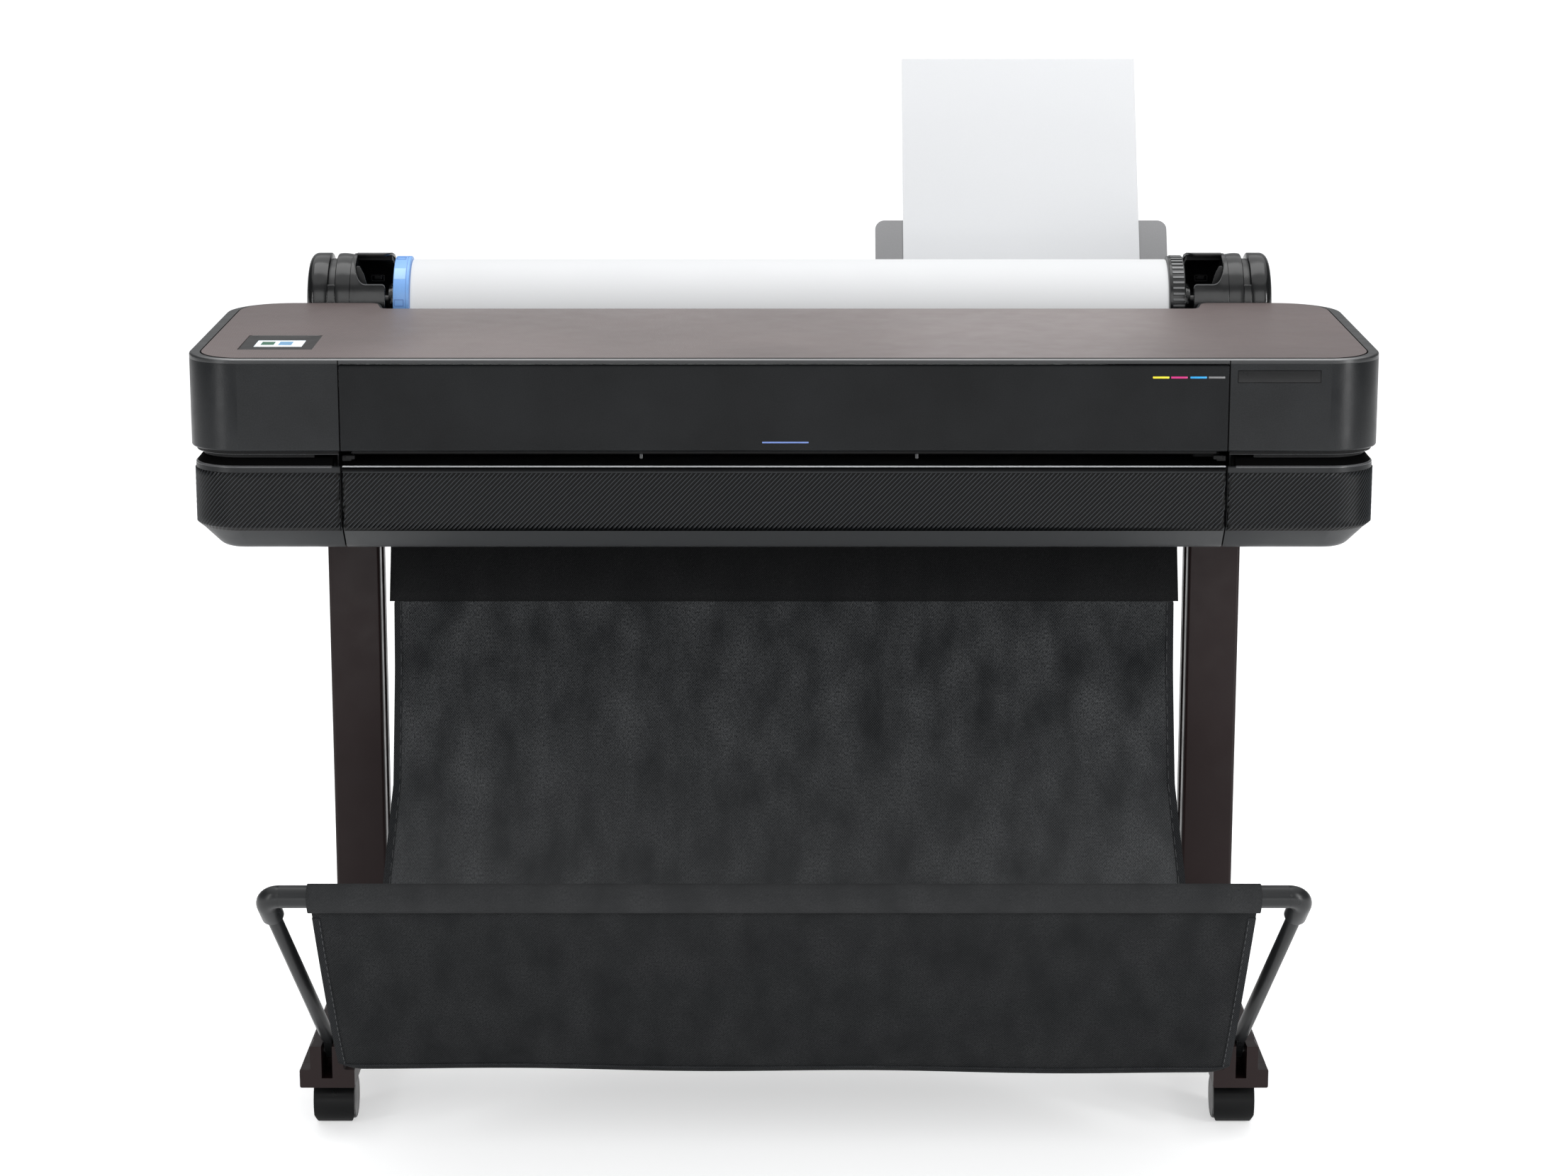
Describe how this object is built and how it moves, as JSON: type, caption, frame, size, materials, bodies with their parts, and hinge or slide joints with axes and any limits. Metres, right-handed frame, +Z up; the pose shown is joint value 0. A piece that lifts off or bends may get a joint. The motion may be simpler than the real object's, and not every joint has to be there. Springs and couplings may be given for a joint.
{
  "type": "large format plotter",
  "caption": "Wide floor-standing inkjet plotter with a rear paper roll, a rear sheet tray, a touch panel, a front door and a cloth catch basket on a castered stand.",
  "frame": {"origin": "on the floor under the middle of the machine's overall box", "axes": "+X to the right of a person facing the front, the machine's longest side; +Y to the back; +Z up"},
  "size_m": [1.317, 1.0175, 1.1512],
  "materials": {
    "housing_black": "fine moulded texture, satin",
    "housing_gloss": "polished moulding",
    "lid_taupe": "fine diagonal line texture, satin",
    "inner_black": "matt",
    "holder_black": "satin",
    "sheet_steel": "zinc plated",
    "stand_brown": "powder coat, very dark brown",
    "basket_tube": "satin black coat",
    "basket_cloth": "fine diagonal weave",
    "paper": "uncoated white paper",
    "cardboard": "wound board",
    "stop_blue": "satin",
    "tray_grey": "fine texture",
    "screen": "glossy",
    "roller_rubber": "ground rubber",
    "wheel_black": "satin",
    "electronics": "circuit board and plated case",
    "ink_plastic": "moulded",
    "motor_metal": "turned"
  },
  "bodies": {
    "root": {"base_pan": "sheet_steel", "basket_cloth_back": "basket_cloth", "basket_pivot_pins": "sheet_steel", "carriage_rail": "sheet_steel", "cloth_rod": "basket_tube", "column_left": "stand_brown", "column_right": "stand_brown", "control_panel": "housing_gloss", "cross_brace": "stand_brown", "drive_belt": "roller_rubber", "drive_motors": "motor_metal", "electronics": "electronics", "feeder_tray": "tray_grey", "foot_end_caps": "stand_brown", "foot_left": "stand_brown", "foot_right": "stand_brown", "ink_cartridges": "ink_plastic", "inner_housings": "inner_black", "lid_panel": "lid_taupe", "lower_cover_front": "housing_black", "lower_cover_left": "housing_black", "lower_cover_right": "housing_black", "output_guide": "housing_gloss", "platen": "inner_black", "power_inlet": "inner_black", "rear_cover": "housing_black", "roll_holder_left": "holder_black", "roll_holder_right": "holder_black", "service_station": "inner_black", "side_plates": "sheet_steel", "top_rim": "housing_gloss", "touch_screen": "screen", "upper_cover_left": "housing_black", "upper_cover_right": "housing_black"},
    "door": {"front_door": "housing_black"},
    "media": {"spindle": "holder_black", "roll_stop": "stop_blue", "drive_flange": "holder_black", "media_roll": "paper", "media_core": "cardboard"},
    "feed": {"feed_roller": "roller_rubber"},
    "pinch": {"pinch_rollers": "roller_rubber"},
    "carriage_body": {"carriage": "housing_black", "print_heads": "ink_plastic"},
    "cutter": {"paper_cutter": "inner_black"},
    "guide_left": {"width_guide_left": "tray_grey"},
    "guide_right": {"width_guide_right": "tray_grey"},
    "sheet": {"paper_sheet": "paper"},
    "basket": {"basket_bar": "basket_tube", "basket_elbows": "basket_tube", "basket_arms": "basket_tube", "basket_cloth_front": "basket_cloth"},
    "swivel_front_left": {"caster_hood_front_left": "wheel_black"},
    "wheels_front_left": {"caster_wheels_front_left": "wheel_black"},
    "swivel_front_right": {"caster_hood_front_right": "wheel_black"},
    "wheels_front_right": {"caster_wheels_front_right": "wheel_black"},
    "swivel_rear_left": {"caster_hood_rear_left": "wheel_black"},
    "wheels_rear_left": {"caster_wheels_rear_left": "wheel_black"},
    "swivel_rear_right": {"caster_hood_rear_right": "wheel_black"},
    "wheels_rear_right": {"caster_wheels_rear_right": "wheel_black"}
  },
  "joints": [
    {"name": "door_hinge", "type": "hinge", "parent": "root", "child": "door", "pos_m": [0, -0.2165, 0.8576], "axis": [-1, 0, 0], "range_deg": [0, 98]},
    {"name": "roll_spin", "type": "hinge", "parent": "root", "child": "media", "pos_m": [0.0065, 0.2373, 0.873], "axis": [1, 0, 0], "continuous": true},
    {"name": "feed_spin", "type": "hinge", "parent": "root", "child": "feed", "pos_m": [0, -0.0517, 0.742], "axis": [1, 0, 0], "continuous": true},
    {"name": "pinch_spin", "type": "hinge", "parent": "root", "child": "pinch", "pos_m": [0, -0.0517, 0.7623], "axis": [1, 0, 0], "continuous": true},
    {"name": "carriage_slide", "type": "slide", "parent": "root", "child": "carriage_body", "axis": [1, 0, 0], "range_m": [-0.845, 0]},
    {"name": "cutter_slide", "type": "slide", "parent": "root", "child": "cutter", "axis": [1, 0, 0], "range_m": [-0.92, 0]},
    {"name": "guide_left_slide", "type": "slide", "parent": "root", "child": "guide_left", "axis": [-1, 0, 0], "range_m": [0, 0.02]},
    {"name": "guide_right_slide", "type": "slide", "parent": "root", "child": "guide_right", "axis": [1, 0, 0], "range_m": [0, 0.02]},
    {"name": "sheet_lift", "type": "slide", "parent": "root", "child": "sheet", "axis": [0, 0.4587, 0.8886], "range_m": [0, 0.12]},
    {"name": "basket_fold", "type": "hinge", "parent": "root", "child": "basket", "pos_m": [0, -0.2747, 0.095], "axis": [-1, 0, 0], "range_deg": [0, 42]},
    {"name": "swivel_turn_front_left", "type": "hinge", "parent": "root", "child": "swivel_front_left", "pos_m": [-0.508, -0.2477, 0.063], "axis": [0, 0, 1], "continuous": true},
    {"name": "wheel_spin_front_left", "type": "hinge", "parent": "swivel_front_left", "child": "wheels_front_left", "pos_m": [-0.508, -0.2297, 0.025], "axis": [1, 0, 0], "continuous": true},
    {"name": "swivel_turn_front_right", "type": "hinge", "parent": "root", "child": "swivel_front_right", "pos_m": [0.508, -0.2477, 0.063], "axis": [0, 0, 1], "continuous": true},
    {"name": "wheel_spin_front_right", "type": "hinge", "parent": "swivel_front_right", "child": "wheels_front_right", "pos_m": [0.508, -0.2297, 0.025], "axis": [1, 0, 0], "continuous": true},
    {"name": "swivel_turn_rear_left", "type": "hinge", "parent": "root", "child": "swivel_rear_left", "pos_m": [-0.508, 0.2353, 0.063], "axis": [0, 0, 1], "continuous": true},
    {"name": "wheel_spin_rear_left", "type": "hinge", "parent": "swivel_rear_left", "child": "wheels_rear_left", "pos_m": [-0.508, 0.2533, 0.025], "axis": [1, 0, 0], "continuous": true},
    {"name": "swivel_turn_rear_right", "type": "hinge", "parent": "root", "child": "swivel_rear_right", "pos_m": [0.508, 0.2353, 0.063], "axis": [0, 0, 1], "continuous": true},
    {"name": "wheel_spin_rear_right", "type": "hinge", "parent": "swivel_rear_right", "child": "wheels_rear_right", "pos_m": [0.508, 0.2533, 0.025], "axis": [1, 0, 0], "continuous": true}
  ],
  "couplings": [
    {"joint": "guide_right_slide", "follows": "guide_left_slide", "ratio": 1}
  ]
}
